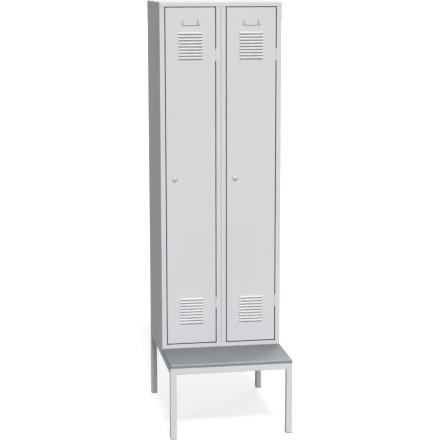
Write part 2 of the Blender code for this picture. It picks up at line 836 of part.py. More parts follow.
def door_rings(bm, left, right):
    """The door's folded edge: four corners at each point of the fold's path.

    It returns the innermost ring.
    """
    corners = (
        (0.0, 0.0),
        (DOOR_RIM, 0.0),
        (DOOR_RIM, DOOR_DEPTH),
        (DOOR_RIM - DOOR_RETURN, DOOR_DEPTH),
    )
    path = rounded(corners, FOLD)
    rings = []
    for out, depth in path:
        inset = DOOR_RIM - out
        low, high = left + inset, right - inset
        bottom, top = DOOR_BOTTOM + inset, DOOR_TOP - inset
        ring = ((low, bottom), (high, bottom), (high, top), (low, top))
        rings.append([bm.verts.new((x, FRONT + depth, z)) for x, z in ring])
    for inner, outer in zip(rings, rings[1:]):
        for i in range(4):
            j = (i + 1) % 4
            bm.faces.new((inner[i], inner[j], outer[j], outer[i]))
    return rings[0]


def make_door_panel(bay, axis):
    left, right = door_edges(bay)
    middle = (left + right) / 2
    bm = bmesh.new()
    rim = door_rings(bm, left, right)
    loops = louvre_loops(bm, middle) + card_holder_loops(bm, middle)
    lock = lock_place(bay)
    radius = BARREL_RADIUS + GAP
    hole = []
    for step in range(ROUND_STEPS):
        angle = 2 * pi * step / ROUND_STEPS
        hole.append(bm.verts.new((lock.x + radius * cos(angle), FRONT, lock.z + radius * sin(angle))))
    loops.append(hole)
    flat = fill_front(bm, rim, loops)
    bmesh.ops.recalc_face_normals(bm, faces=bm.faces)
    if flat.normal.y > 0:
        bmesh.ops.reverse_faces(bm, faces=bm.faces)
    panel = from_bmesh(f"{bay}_door_panel", bm)
    solidify = panel.modifiers.new("thickness", "SOLIDIFY")
    solidify.thickness = SHEET
    solidify.offset = -1
    solidify.use_even_offset = True
    finished(panel, "light_paint", axis)


def lock_place(bay):
    return Vector((door_edges(bay)[0] + LOCK_INSET, FRONT, LOCK_HEIGHT))


def stiffener_face():
    """How far behind the front the channel's flat face stands."""
    return FRONT + SHEET + GAP + STIFFENER_DEPTH


def rod_across(bay, sign):
    """The middle of a rod, between the nearest and the furthest that its pin gets from the lock's axis."""
    return lock_place(bay).x + sign * (drive_pin_offset() + DRIVE_RADIUS) / 2


def make_stiffener(bay, axis):
    """A hat channel on the door's back, which carries the lock. The rods slide through its lugs."""
    lock = lock_place(bay)
    half = STIFFENER_FACE / 2
    low, high = lock.x - half, lock.x + half
    foot = FRONT + SHEET + GAP
    face = stiffener_face()
    points = (
        (low - STIFFENER_FLANGE, foot),
        (low, foot),
        (low, face - SHEET),
        (high, face - SHEET),
        (high, foot),
        (high + STIFFENER_FLANGE, foot),
    )
    span = (DOOR_BOTTOM + STIFFENER_END, DOOR_TOP - STIFFENER_END)
    channel = sheet(f"{bay}_door_stiffener", rounded(points, FOLD), "Z", span)
    lugs, slots = bmesh.new(), []
    tip = ROD_FACE + ROD_THICKNESS + ROD_SLOT_CLEARANCE + LUG_TIP
    for sign, door_end in ((1, DOOR_TOP), (-1, DOOR_BOTTOM)):
        across = rod_across(bay, sign)
        for level in (door_end - sign * LUG_END_OFFSET, LOCK_HEIGHT + sign * LUG_LOCK_OFFSET):
            ends = (level - LUG_THICKNESS / 2, level + LUG_THICKNESS / 2)
            half_lug = LUG_WIDTH / 2
            half_slot = ROD_WIDTH / 2 + ROD_SLOT_CLEARANCE
            start = (across - half_lug, face - SHEET / 2, ends[0])
            add_box(lugs, start, (across + half_lug, tip, ends[1]))
            slot_start = (across - half_slot, ROD_FACE - ROD_SLOT_CLEARANCE, ends[0] - OVERRUN)
            slots.append((slot_start, (across + half_slot, tip - LUG_TIP, ends[1] + OVERRUN)))
    combined(channel, from_bmesh(f"{bay}_stiffener_lugs", lugs, CUTTERS), "UNION")
    cut_boxes(channel, f"{bay}_stiffener_slots", slots)
    start = (lock.x, face - SHEET - OVERRUN, lock.z)
    drill(channel, f"{bay}_stiffener_lock_hole", [start], BARREL_RADIUS + GAP, SHEET + 2 * OVERRUN, "Y")
    finished(channel, "light_paint", axis)


def hinge_levels():
    """The middle heights of a door's hinges."""
    return {"lower": DOOR_BOTTOM + LOWER_HINGE_RISE, "upper": DOOR_TOP - UPPER_HINGE_DROP}


def hinge_axis_place(bay):
    across = door_edges(bay)[1] + DOOR_GAP / 2
    return Vector((across, FRONT - HINGE_PROUD, 0.0))


def hinge_leaf(name, axis_place, sign, span):
    """A strip rolled into an eye round the pin. Its flat leaf lies beside the door frame or the door."""
    mid = HINGE_EYE_RADIUS - HINGE_LEAF / 2
    leaf = DOOR_GAP / 2 - GAP - HINGE_LEAF / 2
    end = asin(leaf / mid)
    start_angle = pi / 2 - end
    sweep = 2 * pi - 2 * end - radians(HINGE_EYE_OPENING)
    steps = ROUND_STEPS
    path = []
    for step in range(steps + 1):
        angle = start_angle - sweep * (1 - step / steps)
        path.append((axis_place.x + sign * mid * cos(angle), axis_place.y + mid * sin(angle)))
    path.append((axis_place.x + sign * leaf, axis_place.y + HINGE_PROUD + HINGE_LEAF_DEPTH))
    piece = sheet(name, path, "Z", span, HINGE_LEAF)
    piece.modifiers["thickness"].offset = 0.0
    return piece


def make_hinges(bay, axis):
    place = hinge_axis_place(bay)
    half = HINGE_HEIGHT / 2
    inner = HINGE_KNUCKLE_GAP / 2
    ends = half + GAP
    profile = (
        (0.0, ends + HINGE_PIN_HEAD),
        (HINGE_PIN_HEAD_RADIUS, ends + HINGE_PIN_HEAD),
        (HINGE_PIN_HEAD_RADIUS, ends),
        (HINGE_PIN_RADIUS, ends),
        (HINGE_PIN_RADIUS, -ends),
        (HINGE_PIN_HEAD_RADIUS, -ends),
        (HINGE_PIN_HEAD_RADIUS, -ends - HINGE_PIN_HEAD),
        (0.0, -ends - HINGE_PIN_HEAD),
    )
    for which, level in hinge_levels().items():
        name = f"{bay}_{which}_hinge"
        frame_leaf = hinge_leaf(f"{name}_frame_leaf", place, 1, (level + inner, level + half))
        finished(frame_leaf, "zinc")
        door_leaf = hinge_leaf(f"{name}_door_leaf", place, -1, (level - half, level - inner))
        finished(door_leaf, "zinc", axis)
        pin = turned(f"{name}_pin", profile, (place.x, place.y, level), steps=SMALL_ROUND_STEPS)
        finished(pin, "zinc")


# Locks


def make_lock_housing(bay, axis):
    """A domed rosette with a barrel that passes through the door and its stiffener."""
    bore = PLUG_RADIUS + GAP
    dome = ROSETTE_RISE - ROSETTE_RIM
    width = ROSETTE_RADIUS - ROSETTE_FACE_RADIUS
    curve = []
    for step in range(DOME_STEPS + 1):
        angle = pi / 2 * step / DOME_STEPS
        rise = -GAP - ROSETTE_RIM - dome * cos(angle)
        curve.append((ROSETTE_FACE_RADIUS + width * sin(angle), rise))
    profile = [
        (bore, BARREL_LENGTH),
        (BARREL_RADIUS, BARREL_LENGTH),
        (BARREL_RADIUS, -GAP),
        (ROSETTE_RADIUS, -GAP),
        *curve[::-1],
        (bore, -GAP - ROSETTE_RISE),
    ]
    housing = turned(
        f"{bay}_lock_housing", profile, lock_place(bay), "Y", closed=True, steps=LARGE_ROUND_STEPS
    )
    finished(housing, "zinc", axis)


def make_lock_nut(bay, axis):
    lock = lock_place(bay)
    start = stiffener_face() + GAP
    nut = cylinders(
        f"{bay}_lock_nut",
        [(lock.x, start, lock.z)],
        hexagon_radius(LOCK_NUT_ACROSS_FLATS),
        LOCK_NUT_THICKNESS,
        "Y",
        6,
    )
    hole = (lock.x, start - OVERRUN, lock.z)
    drill(nut, f"{bay}_lock_nut_hole", [hole], BARREL_RADIUS + GAP, LOCK_NUT_THICKNESS + 2 * OVERRUN, "Y")
    finished(nut, "zinc", axis)


def make_lock_plug(bay, axis):
    """The part that the key turns, with a squared end for the cam."""
    lock = lock_place(bay)
    face = lock.y - GAP - ROSETTE_RISE + PLUG_RECESS
    shoulder = CAM_FACE - GAP
    plug = cylinders(f"{bay}_lock_plug", [(lock.x, face, lock.z)], PLUG_RADIUS, shoulder - face, "Y")
    half = PLUG_STUB / 2
    stub = box(
        f"{bay}_plug_stub",
        (lock.x - half, shoulder - OVERRUN, lock.z - half),
        (lock.x + half, CAM_FACE + CAM_THICKNESS, lock.z + half),
    )
    combined(plug, stub, "UNION")
    keyway = (
        (lock.x - KEYWAY_WIDTH / 2, face - OVERRUN, lock.z - KEYWAY_HEIGHT / 2),
        (lock.x + KEYWAY_WIDTH / 2, face + KEYWAY_DEPTH, lock.z + KEYWAY_HEIGHT / 2),
    )
    cut_boxes(plug, f"{bay}_keyway", [keyway])
    finished(plug, "zinc", axis)


def drive_pin_offset():
    """How far across and how far down from the lock's axis a drive pin rests."""
    return DRIVE_RADIUS * cos(pi / 4)


def make_lock_cam(bay, axis):
    """A round plate with a tongue that points up when unlocked, and a pin for each rod."""
    lock = lock_place(bay)
    half = CAM_WIDTH / 2
    shoulder = atan2(sqrt(CAM_RADIUS**2 - half**2), half)
    steps = 2 * ROUND_STEPS
    outline = []
    for step in range(steps + 1):
        angle = pi - shoulder + (pi + 2 * shoulder) * step / steps
        outline.append((CAM_RADIUS * cos(angle), CAM_RADIUS * sin(angle)))
    for step in range(ROUND_STEPS // 2 + 1):
        angle = pi * step / (ROUND_STEPS // 2)
        outline.append((half * cos(angle), CAM_REACH - half + half * sin(angle)))
    cam = plate(f"{bay}_lock_cam", outline, CAM_THICKNESS, (lock.x, CAM_FACE, lock.z))
    offset = drive_pin_offset()
    pin_length = CAM_THICKNESS / 2 + ROD_CLEARANCE + ROD_THICKNESS + DRIVE_PIN_PROUD
    places = [
        (lock.x + sign * offset, CAM_FACE + CAM_THICKNESS / 2, lock.z - sign * offset) for sign in (1, -1)
    ]
    pins = cylinders(f"{bay}_drive_pins", places, DRIVE_PIN_RADIUS, pin_length, "Y")
    combined(cam, pins, "UNION")
    hole = PLUG_STUB / 2 + GAP
    cut = (
        (lock.x - hole, CAM_FACE - OVERRUN, lock.z - hole),
        (lock.x + hole, CAM_FACE + CAM_THICKNESS + OVERRUN, lock.z + hole),
    )
    cut_boxes(cam, f"{bay}_cam_hole", [cut])
    finished(cam, "zinc", axis)


def make_rod(bay, which, sign):
    """A flat bar from the cam to the door's top or bottom edge. A cross slot takes the cam's pin."""
    lock = lock_place(bay)
    offset = drive_pin_offset()
    across = rod_across(bay, sign)
    pin_height = lock.z - sign * offset
    end = DOOR_TOP if sign > 0 else DOOR_BOTTOM
    low, high = sorted((pin_height - sign * ROD_END_MARGIN, end))
    half = ROD_WIDTH / 2
    axis = new_axis(f"{bay}_{which}_rod_axis", (across, ROD_FACE, pin_height))
    rod = box(
        f"{bay}_{which}_rod",
        (across - half, ROD_FACE, low),
        (across + half, ROD_FACE + ROD_THICKNESS, high),
    )
    slot_half = (DRIVE_RADIUS - offset) / 2 + DRIVE_PIN_RADIUS + ROD_SLOT_CLEARANCE
    slot_rise = DRIVE_PIN_RADIUS + ROD_SLOT_CLEARANCE
    slot = (
        (across - slot_half, ROD_FACE - OVERRUN, pin_height - slot_rise),
        (across + slot_half, ROD_FACE + ROD_THICKNESS + OVERRUN, pin_height + slot_rise),
    )
    cut_boxes(rod, f"{bay}_{which}_rod_slot", [slot])
    finished(rod, "zinc", axis)


def make_bay(bay):
    make_shelf(bay)
    make_coat_rail(bay)
    make_coat_hook(bay)
    hinge = hinge_axis_place(bay)
    door_axis = new_axis(f"{bay}_door_axis", (hinge.x, hinge.y, LOCK_HEIGHT))
    lock_axis = new_axis(f"{bay}_lock_axis", lock_place(bay))
    make_door_panel(bay, door_axis)
    make_stiffener(bay, door_axis)
    make_hinges(bay, door_axis)
    make_lock_housing(bay, door_axis)
    make_lock_nut(bay, door_axis)
    make_lock_plug(bay, lock_axis)
    make_lock_cam(bay, lock_axis)
    make_rod(bay, "upper", 1)
    make_rod(bay, "lower", -1)


def make_all():
    make_legs()
    make_rails()
    make_seat()
    make_side_panels()
    make_partitions()
    make_sill()
    make_lid()
    make_back_and_floor()
    for bay in ("left", "right"):
        make_bay(bay)


make_all()
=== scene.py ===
"""Looks of the locker with a bench: its finishes, finely pressed doors, locks, welds, light and camera."""

import json

import bmesh
import bpy
from math import atan2, cos, pi, radians, sin, sqrt, tan
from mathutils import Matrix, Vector
from mathutils.geometry import delaunay_2d_cdt

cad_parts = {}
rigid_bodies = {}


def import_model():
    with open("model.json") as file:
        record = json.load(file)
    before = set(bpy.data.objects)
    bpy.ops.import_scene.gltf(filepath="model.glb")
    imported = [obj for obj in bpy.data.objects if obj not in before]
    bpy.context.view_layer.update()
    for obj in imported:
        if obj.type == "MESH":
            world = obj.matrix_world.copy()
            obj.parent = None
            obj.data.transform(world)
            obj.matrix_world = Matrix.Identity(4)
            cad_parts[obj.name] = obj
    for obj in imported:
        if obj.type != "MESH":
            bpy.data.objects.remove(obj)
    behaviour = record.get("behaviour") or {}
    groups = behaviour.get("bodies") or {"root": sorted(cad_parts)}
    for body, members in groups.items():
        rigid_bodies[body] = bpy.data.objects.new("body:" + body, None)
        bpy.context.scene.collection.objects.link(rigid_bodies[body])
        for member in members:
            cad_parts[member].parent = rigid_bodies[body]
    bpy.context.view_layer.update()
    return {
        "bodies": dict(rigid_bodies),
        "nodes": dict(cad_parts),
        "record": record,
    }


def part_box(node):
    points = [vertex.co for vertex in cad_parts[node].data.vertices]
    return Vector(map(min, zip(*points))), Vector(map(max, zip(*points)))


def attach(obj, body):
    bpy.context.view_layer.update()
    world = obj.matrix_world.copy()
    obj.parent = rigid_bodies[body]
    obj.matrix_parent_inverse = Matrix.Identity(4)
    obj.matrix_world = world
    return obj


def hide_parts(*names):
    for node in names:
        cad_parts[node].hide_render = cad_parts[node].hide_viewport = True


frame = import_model()
NODES = frame["nodes"]
BAYS = ("left", "right")

# The camera, at the photograph's place and angle
CAMERA_PLACE = (-1.13639, -6.83348, 2.22705)
CAMERA_YAW = 0.1734
CAMERA_PITCH = 0.175
IMAGE_WIDTH = 440
FOCAL_PIXELS = 1397.2
CENTRE_PIXEL = 229.876
SENSOR = 36.0
CLIP_END = 200.0

# Light
AMBIENT = 0.275
AMBIENT_COLOUR = (0.90, 0.945, 1.0, 1.0)
# Each lamp's direction from the object, strength, spread in degrees, and colour
LAMPS = {
    "key_sun": ((0.012, -0.643, 0.766), 2.95, 14.0, (1.0, 0.995, 0.985)),
    "fill_sun": ((0.0, -0.985, 0.17), 0.38, 24.0, (1.0, 1.0, 1.0)),
    "back_sun": ((0.45, 0.78, 0.43), 1.3, 30.0, (1.0, 1.0, 1.0)),
}
FLOOR_SIZE = 60.0
FLOOR_CLOUD_SCALE = 0.8
# The floor's colour in the light that it throws back, its colour and mottling as seen, and its glow
FLOOR_BOUNCE = 0.285
FLOOR_WHITE = 0.45
FLOOR_MOTTLE = 0.01
FLOOR_GLOW = 0.70

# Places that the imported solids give
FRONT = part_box("left_side_panel")[0].y
BACK_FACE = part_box("back_panel")[1].y
SEAT_LOW, SEAT_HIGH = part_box("seat_board")
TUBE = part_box("bench_rail_front")[1].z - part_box("bench_rail_front")[0].z

# Sheet steel: its thickness, the steps in its folds and corners, and how its flats are shaded
SHEET = 0.0008
FOLD_STEPS = 6
CORNER_STEPS = 4
SHARP_ANGLE = 34
FACE_WEIGHT = 100

# How near to each other points have to be to count as one
SAME_POINT = 1e-7

# Solid bars and plastic pieces whose edges are eased
EASED_EDGE = 0.0003
EASED_STEPS = 2
EASED_NODES = ("lock_nut", "lock_cam", "upper_rod", "lower_rod", "foot_")

# Door panel
DOOR_FOLD = 0.0028
DOOR_DEPTH = 0.017
DOOR_RIM = 0.004
DOOR_RETURN = 0.010
DOOR_CORNER = 0.0028
DOOR_INNER_CORNER = 0.0004

# Louvres. A lip's shares give where its shoulder is, and its open edge's part of the full rise
LOUVRES = 9
LOUVRE_PITCH = 0.015
UPPER_LOUVRES_DROP = 0.117
LOWER_LOUVRES_RISE = 0.1032
LOUVRE = {
    "length": 0.122,
    "width": 0.009,
    "rise": 0.0055,
    "slit": 0.0008,
    "taper": 0.0065,
    "corner": 0.005,
    "shoulder_share": 1.0,
    "end_share": 1.0,
}

# Card holder, with a lip under the card and one at each side
CARD_WIDTH = 0.095
CARD_HEIGHT = 0.0312
CARD_DROP = 0.055
CARD_CORNER = 0.014
CARD_UNDER_LIP = {
    "length": CARD_WIDTH - 2 * CARD_CORNER,
    "width": 0.0072,
    "rise": 0.0046,
    "slit": 0.0006,
    "taper": 0.004,
    "corner": 0.002,
    "shoulder_share": 0.4,
    "end_share": 0.35,
}
CARD_SIDE_LIP = {
    "length": CARD_HEIGHT,
    "width": 0.0116,
    "rise": 0.0050,
    "slit": 0.0016,
    "taper": 0.004,
    "corner": 0.003,
    "shoulder_share": 0.45,
    "end_share": 0.5,
}

# A lip's steps along each end, its rows across its width, and the part in which it starts to rise
LIP_END_STEPS = 7
LIP_ROW_SHARES = (0.0, 0.06, 0.13, 0.2, 0.32, 0.45, 0.6, 0.75, 0.88, 1.0)
LIP_EASE_SHARE = 0.2

# Locks. Rises are measured from the door's front
LOCK_INSET = 0.042
BORE_RADIUS = 0.0063
BARREL_RADIUS = 0.009
BARREL_LENGTH = 0.0195
THREAD_PITCH = 0.0015
THREAD_DEPTH = 0.0004
DOME_RADIUS = 0.0138
DOME_RIM = 0.0008
DOME_RIM_ROUND = 0.0003
DOME_FACE_RADIUS = 0.0074
DOME_FACE_ROUND = 0.0012
DOME_RISE = 0.0084
DOME_DISH = 0.0001
# Painted shade on the rosette: full below the first of these rises, and gone above the second
DOME_SHADE_FULL_RISE = 0.0016
DOME_SHADE_END_RISE = 0.0042
LAID_GAP = 0.0003
LOCK_STEPS = 64
PLUG_RADIUS = 0.0058
PLUG_RISE = 0.0082
PLUG_CHAMFER = 0.0004
PLUG_THICKNESS = 0.0006
KEYWAY_WIDTH = 0.0030
KEYWAY_HEIGHT = 0.0064

# Seat board
SEAT_ROUND = 0.0045
SEAT_ROUND_STEPS = 8
SEAT_UNDER_ROUND = 0.001
SEAT_UNDER_STEPS = 3
ROUND_PROFILE_SHARE = 0.5
# Painted shade: the seat is darker near the cabinet, and grows paler from the first of these depths to the
# second
SEAT_SHADE_FULL_DEPTH = -0.12
SEAT_SHADE_END_DEPTH = -0.38

# Welds between the frame's tubes
WELD_RADIUS = 0.0021
WELD_SINK = 0.00008
WELD_CORNER = 0.0025
WELD_PITCH = 0.0024
WELD_PITCH_STEPS = 3
WELD_RIPPLE_SHARE = 0.07
WELD_SIDES = 10

# Rivets on the back: (radius, rise) shares run from the rim to the dimple's middle
RIVET_RADIUS = 0.0032
RIVET_RISE = 0.0009
RIVET_OUTLINE_SHARES = ((1.0, 0.0), (1.0, 1 / 3), (0.8, 0.8), (0.4, 1.0), (0.34, 0.6), (0.0, 0.6))
RIVET_STEPS = 24
RIVET_ROW = 8
RIVET_MARGIN = 0.070
RIVET_INSET = 0.0075

# Black strips that line the door frames' openings: painted shade, a dark sheet that darkens the gaps round
# the doors
STOP_DEPTH = 0.019
DOOR_GAP = 0.004
STRIP_THICKNESS = 0.0022
STRIP_WALL_GAP = 0.0002
STRIP_START = 0.0006
STRIP_FOOT_WIDTH = 0.0078
STRIP_FOOT_THICKNESS = 0.0013
STRIP_ROUND = 0.0004
STRIP_BEND = 0.0008
STRIP_END_GAP = 0.0005
HINGE_BREAK = 0.0315

# Colours, as (red, green, blue, opacity)
WHITE = (1.0, 1.0, 1.0, 1.0)
PAINT_DEEP = (0.650, 0.658, 0.672, 1.0)
PAINT_PALE = (0.672, 0.680, 0.694, 1.0)
PAINT_SPECK = (0.54, 0.55, 0.57, 1.0)
# Painted shade on the seat near the cabinet, and the seat's tone at its front, where no shade is painted
SEAT_PAINTED_SHADE = ((0.170, 0.178, 0.192, 1.0), (0.186, 0.194, 0.208, 1.0))
SEAT_UNSHADED = ((0.272, 0.283, 0.300, 1.0), (0.290, 0.301, 0.318, 1.0))
SEAT_GRAIN = (0.165, 0.173, 0.187, 1.0)
# Painted highlight on the seat's rounded front top edge
SEAT_PAINTED_HIGHLIGHT = (0.420, 0.430, 0.445, 1.0)
ZINC = ((0.54, 0.55, 0.56, 1.0), (0.66, 0.67, 0.68, 1.0))
SATIN_BRIGHT = ((0.77, 0.775, 0.78, 1.0), (0.71, 0.715, 0.72, 1.0))
# Painted shade on the rosette's flank beside the door
SATIN_PAINTED_SHADE = (0.28, 0.283, 0.286, 1.0)
# Near black steel: painted shade in the keyways
OILED_KEYWAY_SHADE = ((0.035, 0.035, 0.037, 1.0), (0.060, 0.060, 0.063, 1.0))
# Painted shade in the gaps round the doors
GAP_SHADE_BLACK = ((0.012, 0.012, 0.013, 1.0), (0.024, 0.024, 0.026, 1.0))
PLASTIC = ((0.30, 0.31, 0.32, 1.0), (0.36, 0.37, 0.38, 1.0))

# Most of a noise's values lie between these
NOISE_LOW = 0.3
NOISE_HIGH = 0.7

# A colour mix's sockets
MIX_SHARE, MIX_FIRST, MIX_SECOND, MIX_RESULT = 0, 6, 7, 2


# Materials


class Shader:
    """A material's node tree, built with short calls."""

    def __init__(self, name):
        self.material = bpy.data.materials.new(name)
        self.material.use_nodes = True
        self.tree = self.material.node_tree
        self.surface = self.tree.nodes["Principled BSDF"]
        coords = self.tree.nodes.new("ShaderNodeTexCoord")
        self.place = coords.outputs["Object"]

    def add(self, kind, inputs=None, **settings):
        node = self.tree.nodes.new(kind)
        for key, value in settings.items():
            setattr(node, key, value)
        for key, value in (inputs or {}).items():
            self.feed(node.inputs[key], value)
        return node

    def feed(self, socket, value):
        if isinstance(value, bpy.types.NodeSocket):
            self.tree.links.new(value, socket)
        else:
            socket.default_value = value

    def stretched(self, scale):
        inputs = {"Vector": self.place, "Scale": scale}
        return self.add("ShaderNodeMapping", inputs).outputs["Vector"]

    def noise(self, scale, detail=2.0, roughness=0.5, vector=None):
        inputs = {"Vector": vector or self.place, "Scale": scale, "Detail": detail, "Roughness": roughness}
        return self.add("ShaderNodeTexNoise", inputs).outputs["Fac"]

    def ramp(self, value, low, high, start=0.0, end=1.0):
        inputs = {"Value": value, "From Min": low, "From Max": high, "To Min": start, "To Max": end}
        return self.add("ShaderNodeMapRange", inputs).outputs["Result"]

    def cloud(self, scale, detail=2.0, low=NOISE_LOW, high=NOISE_HIGH, start=0.0, end=1.0):
        """A noise that runs from start to end as its values go from low to high."""
        return self.ramp(self.noise(scale, detail), low, high, start, end)

    def mixed(self, share, first, second):
        node = self.add("ShaderNodeMix", data_type="RGBA")
        for index, value in ((MIX_SHARE, share), (MIX_FIRST, first), (MIX_SECOND, second)):
            self.feed(node.inputs[index], value)
        return node.outputs[MIX_RESULT]

    def bump(self, height, distance, strength=1.0, normal=None):
        inputs = {"Height": height, "Distance": distance, "Strength": strength}
        if normal:
            inputs["Normal"] = normal
        return self.add("ShaderNodeBump", inputs).outputs["Normal"]

    def link(self, output, name):
        self.tree.links.new(output, self.surface.inputs[name])

    def set(self, **values):
        for name, value in values.items():
            self.surface.inputs[name.replace("_", " ")].default_value = value


def powder_coat():
    """Light grey powder coat on sheet steel, with fine orange peel and faint wipe marks."""
    look = Shader("light_grey_powder_coat")
    base = look.mixed(look.cloud(scale=1.7, detail=3.0), PAINT_DEEP, PAINT_PALE)
    speck = look.cloud(scale=900.0, detail=1.0, low=0.62, high=0.78, end=0.12)
    look.link(look.mixed(speck, base, PAINT_SPECK), "Base Color")
    upright = look.stretched((1.0, 1.0, 0.25))
    wipes = look.noise(scale=5.0, detail=4.0, roughness=0.6, vector=upright)
    look.link(look.ramp(wipes, NOISE_LOW, NOISE_HIGH, start=0.62, end=0.72), "Roughness")
    look.set(Specular_IOR_Level=0.10)
    peel = look.bump(look.noise(scale=520.0, roughness=0.55), distance=0.00005)
    waves = look.bump(look.noise(scale=9.0, detail=1.0), distance=0.0005, strength=0.3, normal=peel)
    look.link(waves, "Normal")
    return look.material


def laminate():
    """Matt mid-grey laminate, finely pebbled, with painted shade that darkens it towards the cabinet and a
    painted highlight along the seat's front top edge.
    """
    look = Shader("grey_seat_laminate")
    place = look.add("ShaderNodeSeparateXYZ", {"Vector": look.place})
    depth, level = place.outputs["Y"], place.outputs["Z"]
    # Painted shade: the seat darkens towards the cabinet
    unshaded_share = look.ramp(depth, SEAT_SHADE_FULL_DEPTH, SEAT_SHADE_END_DEPTH)
    # Painted highlight along the rounded front top edge, where these two ramps meet
    edge = look.ramp(depth, SEAT_LOW.y + SEAT_ROUND, SEAT_LOW.y + SEAT_ROUND / 2)
    upper = look.ramp(level, SEAT_HIGH.z - SEAT_ROUND, SEAT_HIGH.z - SEAT_ROUND / 2)
    painted_highlight = look.add("ShaderNodeMath", {0: edge, 1: upper}, operation="MULTIPLY").outputs[0]
    cloud = look.cloud(scale=6.0, detail=4.0)
    tone = look.mixed(unshaded_share, look.mixed(cloud, *SEAT_PAINTED_SHADE), look.mixed(cloud, *SEAT_UNSHADED))
    grain = look.cloud(scale=1400.0, low=0.35, high=0.65, end=0.35)
    body = look.mixed(grain, tone, SEAT_GRAIN)
    look.link(look.mixed(painted_highlight, body, SEAT_PAINTED_HIGHLIGHT), "Base Color")
    look.link(look.cloud(scale=60.0, start=0.52, end=0.62), "Roughness")
    look.set(Specular_IOR_Level=0.15)
    look.link(look.bump(look.noise(scale=1100.0, detail=3.0, roughness=0.6), distance=0.00008), "Normal")
    return look.material


def zinc():
    """Satin zinc plating with faint mottling."""
    look = Shader("zinc_plate")
    look.link(look.mixed(look.cloud(scale=260.0, detail=3.0), *ZINC), "Base Color")
    look.link(look.cloud(scale=700.0, start=0.34, end=0.44), "Roughness")
    look.set(Metallic=0.75)
    look.link(look.bump(look.noise(scale=1500.0), distance=0.00002), "Normal")
    return look.material


def satin_plate():
    """Pale satin plating, a little hazy where keys and fingers rub it, with painted shade that darkens it
    beside the door.
    """
    look = Shader("satin_plate")
    haze = look.cloud(scale=180.0, detail=3.0, low=0.35)
    depth = look.add("ShaderNodeSeparateXYZ", {"Vector": look.place}).outputs["Y"]
    # Painted shade, darkest beside the door
    painted_shade = look.ramp(depth, FRONT - DOME_SHADE_END_RISE, FRONT - DOME_SHADE_FULL_RISE)
    look.link(look.mixed(painted_shade, look.mixed(haze, *SATIN_BRIGHT), SATIN_PAINTED_SHADE), "Base Color")
    look.link(look.ramp(haze, 0.0, 1.0, start=0.30, end=0.40), "Roughness")
    look.set(Metallic=0.15, Specular_IOR_Level=0.3)
    look.link(look.bump(look.noise(scale=900.0), distance=0.000008), "Normal")
    return look.material


def oiled_steel_keyway_shade():
    """Steel with an oily film, near black so that the keyway shows painted shade."""
    look = Shader("oiled_steel_keyway_shade")
    look.link(look.mixed(look.cloud(scale=200.0, detail=3.0), *OILED_KEYWAY_SHADE), "Base Color")
    look.link(look.cloud(scale=700.0, start=0.42, end=0.52), "Roughness")
    look.set(Metallic=0.3)
    look.link(look.bump(look.noise(scale=1500.0), distance=0.00002), "Normal")
    return look.material


def gap_shade_sheet():
    """Matt black sheet that stands for painted shade in the door gaps, faintly mottled."""
    look = Shader("black_gap_shade")
    bloom = look.cloud(scale=40.0, detail=4.0, low=0.35, high=0.75)
    look.link(look.mixed(bloom, *GAP_SHADE_BLACK), "Base Color")
    look.link(look.cloud(scale=300.0, start=0.75, end=0.88), "Roughness")
    look.set(Specular_IOR_Level=0.2)
    look.link(look.bump(look.noise(scale=1800.0), distance=0.00004), "Normal")
    return look.material


def plastic():
    """Matt grey moulded plastic."""
    look = Shader("grey_moulded_plastic")
    look.link(look.mixed(look.cloud(scale=120.0, detail=3.0), *PLASTIC), "Base Color")
    look.link(look.cloud(scale=300.0, start=0.52, end=0.64), "Roughness")
    look.link(look.bump(look.noise(scale=2200.0), distance=0.00003), "Normal")
    return look.material


# The record's finishes, and three that the scene adds
MATERIALS = {
    "light_paint": powder_coat(),
    "seat_laminate": laminate(),
    "zinc": zinc(),
    "grey_plastic": plastic(),
}
SATIN = satin_plate()
OILED_STEEL_KEYWAY_SHADE = oiled_steel_keyway_shade()
GAP_SHADE_SHEET = gap_shade_sheet()


# Pieces


def smooth(obj):
    """Round shading on folds and turned faces, with the large flats kept flat."""
    obj.data.shade_smooth()
    obj.data.set_sharp_from_angle(angle=radians(SHARP_ANGLE))
    normals = obj.modifiers.new("flat_flats", "WEIGHTED_NORMAL")
    normals.keep_sharp = True
    normals.weight = FACE_WEIGHT


def new_object(name, bm):
    mesh = bpy.data.meshes.new(name)
    bm.to_mesh(mesh)
    bm.free()
    obj = bpy.data.objects.new(name, mesh)
    bpy.context.scene.collection.objects.link(obj)
    return obj


def piece(name, bm, body, slot, replaced=None, thickness=None, material=None):
    """A finished piece of the object that moves with a body."""
    obj = new_object(name, bm)
    if thickness:
        solidify = obj.modifiers.new("thickness", "SOLIDIFY")
        solidify.thickness = thickness
        solidify.offset = -1
        solidify.use_even_offset = True
    smooth(obj)
    obj.data.materials.append(material or MATERIALS[slot])
    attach(obj, body)
    if replaced:
        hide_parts(replaced)


def rounded(points, radii):
    """A path of (across, up) points whose inner corners are arcs."""
    path = [Vector(points[0])]
    for i, radius in enumerate(radii, 1):
        corner = Vector(points[i])
        before = (Vector(points[i - 1]) - corner).normalized()
        after = (Vector(points[i + 1]) - corner).normalized()
        half = before.angle(after) / 2
        centre = corner + (before + after).normalized() * (radius / sin(half))
        start = corner + before * (radius / tan(half)) - centre
        end = corner + after * (radius / tan(half)) - centre
        first = atan2(start.y, start.x)
        turn = atan2(start.cross(end), start.dot(end))
        for step in range(FOLD_STEPS + 1):
            angle = first + turn * step / FOLD_STEPS
            path.append(centre + Vector((cos(angle), sin(angle))) * radius)
    return path + [Vector(points[-1])]


